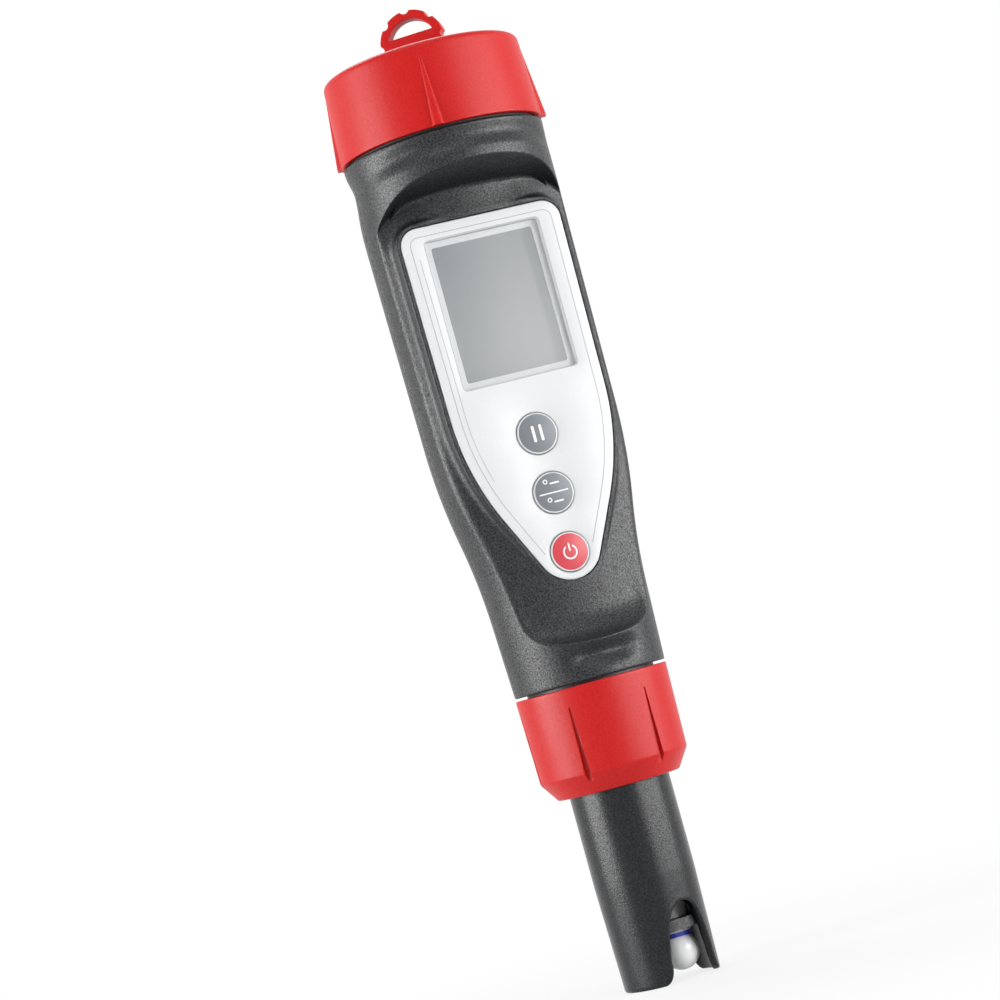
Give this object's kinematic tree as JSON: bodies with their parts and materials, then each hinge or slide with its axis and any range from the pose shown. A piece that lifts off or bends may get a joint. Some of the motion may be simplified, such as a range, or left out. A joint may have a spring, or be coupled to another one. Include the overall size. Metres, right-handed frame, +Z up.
{
  "type": "pen-type ph tester",
  "caption": "Pen-type pH tester with a screw battery cap and lanyard loop, a display and keys on a shield-shaped panel, and a replaceable slotted glass probe held by a ring nut.",
  "frame": {"origin": "centre of the probe's lower rim, on the pen's axis", "axes": "+Z up the pen towards the screw cap, -Y out of the display, +X to the right of the display"},
  "size_m": [0.0402, 0.0402, 0.1904],
  "materials": {
    "black_plastic": "fine spark texture, matt",
    "grey_panel": "smooth, satin",
    "clear_window": "polished",
    "lcd_grey": "semi-gloss",
    "key_grey": "satin",
    "key_red": "satin",
    "red_plastic": "fine spark texture",
    "white_plastic": "smooth",
    "strip_rubber": "matt",
    "seal_rubber": "matt",
    "board_green": "solder mask",
    "chip_black": "matt",
    "steel": "plated",
    "gold_pins": "plated",
    "cell_jacket": "printed foil, plain",
    "clear_glass": "thin blown glass",
    "blue_glass": "polished",
    "silver": "drawn wire",
    "porous_white": "porous"
  },
  "bodies": {
    "housing": {"front_shell": "black_plastic", "rear_shell": "black_plastic", "front_panel": "grey_panel", "display_window": "clear_window", "lcd_glass": "lcd_grey", "lcd_frame": "white_plastic", "zebra_strips": "strip_rubber", "dome_switches": "steel", "main_board": "board_green", "board_screws": "steel", "board_chips": "chip_black", "battery_barrel": "black_plastic", "battery_cell_left": "cell_jacket", "battery_cell_right": "cell_jacket", "negative_contact": "steel", "positive_contact": "steel", "cap_seal": "seal_rubber", "nose": "black_plastic", "probe_socket": "black_plastic", "socket_terminals": "gold_pins"},
    "contact_carrier": {"contact_plate": "white_plastic", "contact_bridge": "steel"},
    "screw_cap": {"battery_cap": "red_plastic", "plate_clip": "steel"},
    "upper_key": {"hold_key": "key_grey"},
    "middle_key": {"unit_key": "key_grey"},
    "lower_key": {"power_key": "key_red"},
    "probe": {"probe_sleeve": "black_plastic", "end_disc": "chip_black", "probe_plug": "black_plastic", "probe_seals": "seal_rubber", "flange_gasket": "seal_rubber", "probe_pins": "gold_pins", "glass_bulb": "clear_glass", "joint_ring": "blue_glass", "glass_stem": "clear_glass", "silver_wire": "silver", "reference_junction": "porous_white", "temperature_sensor": "steel"},
    "ring_nut": {"probe_ring": "red_plastic"}
  },
  "joints": [
    {"name": "contact_rise", "type": "slide", "parent": "housing", "child": "contact_carrier", "axis": [0, 0, 1], "range_m": [0, 0.006]},
    {"name": "cap_turn", "type": "hinge", "parent": "contact_carrier", "child": "screw_cap", "pos_m": [0, 0, 0.172], "axis": [0, 0, 1], "range_deg": [0, 720]},
    {"name": "hold_key_press", "type": "slide", "parent": "housing", "child": "upper_key", "axis": [0, 1, 0], "range_m": [0, 0.0005], "stiffness_N_per_m": 800, "springref_m": -0.0005},
    {"name": "unit_key_press", "type": "slide", "parent": "housing", "child": "middle_key", "axis": [0, 1, 0], "range_m": [0, 0.0005], "stiffness_N_per_m": 800, "springref_m": -0.0005},
    {"name": "power_key_press", "type": "slide", "parent": "housing", "child": "lower_key", "axis": [0, 1, 0], "range_m": [0, 0.0005], "stiffness_N_per_m": 800, "springref_m": -0.0005},
    {"name": "probe_drop", "type": "slide", "parent": "housing", "child": "probe", "axis": [0, 0, -1], "range_m": [0, 0.005]},
    {"name": "ring_turn", "type": "hinge", "parent": "probe", "child": "ring_nut", "pos_m": [0, 0, 0.0478], "axis": [0, 0, -1], "range_deg": [0, 720]}
  ],
  "couplings": [
    {"joint": "contact_rise", "follows": "cap_turn", "m_per_rad": 0.00047746},
    {"joint": "probe_drop", "follows": "ring_turn", "m_per_rad": 0.00039788}
  ]
}
